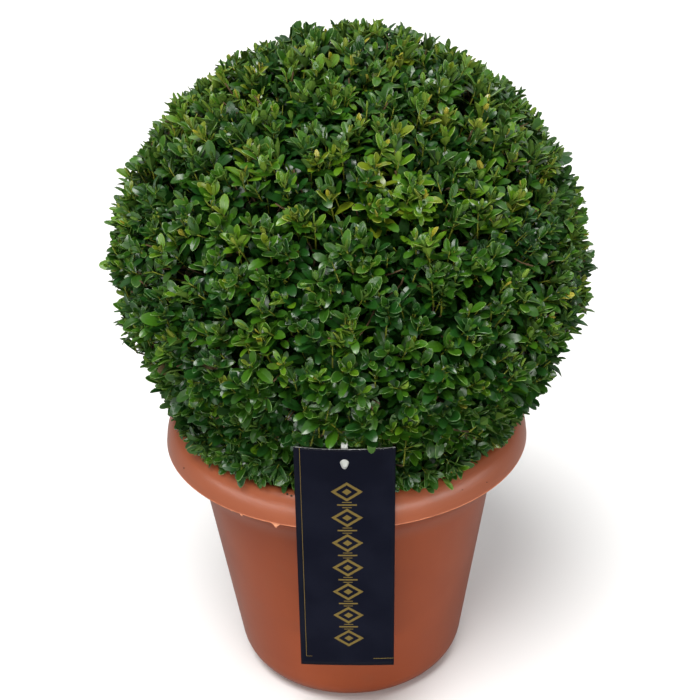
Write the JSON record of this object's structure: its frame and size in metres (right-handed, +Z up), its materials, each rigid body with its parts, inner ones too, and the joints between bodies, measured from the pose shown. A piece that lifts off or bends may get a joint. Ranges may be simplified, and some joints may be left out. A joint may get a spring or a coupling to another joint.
{
  "type": "box topiary ball in a pot",
  "caption": "Clipped box shrub shaped as a ball on a short stem, in a round terracotta-coloured plastic pot with a rolled rim and a hang tag.",
  "frame": {"origin": "centre of the pot's flat underside", "axes": "+Z up through the pot and the ball, -Y towards the front, where the tag hangs, +X to the right seen from the front"},
  "size_m": [0.4024, 0.4007, 0.5904],
  "materials": {
    "pot_plastic": "satin moulded plastic, terracotta colour",
    "potting_mix": "moist crumbly peat and bark mix",
    "bark": "fine ridged grey-brown bark",
    "foliage": "small glossy leaves",
    "tag_card": "satin dark blue print on plastic card",
    "tie_plastic": "thin milky plastic band"
  },
  "bodies": {
    "root": {"pot": "pot_plastic", "pot_rim": "pot_plastic", "potting_mix": "potting_mix", "stem": "bark", "foliage_ball": "foliage", "tag": "tag_card", "tag_tie": "tie_plastic"}
  },
  "joints": []
}
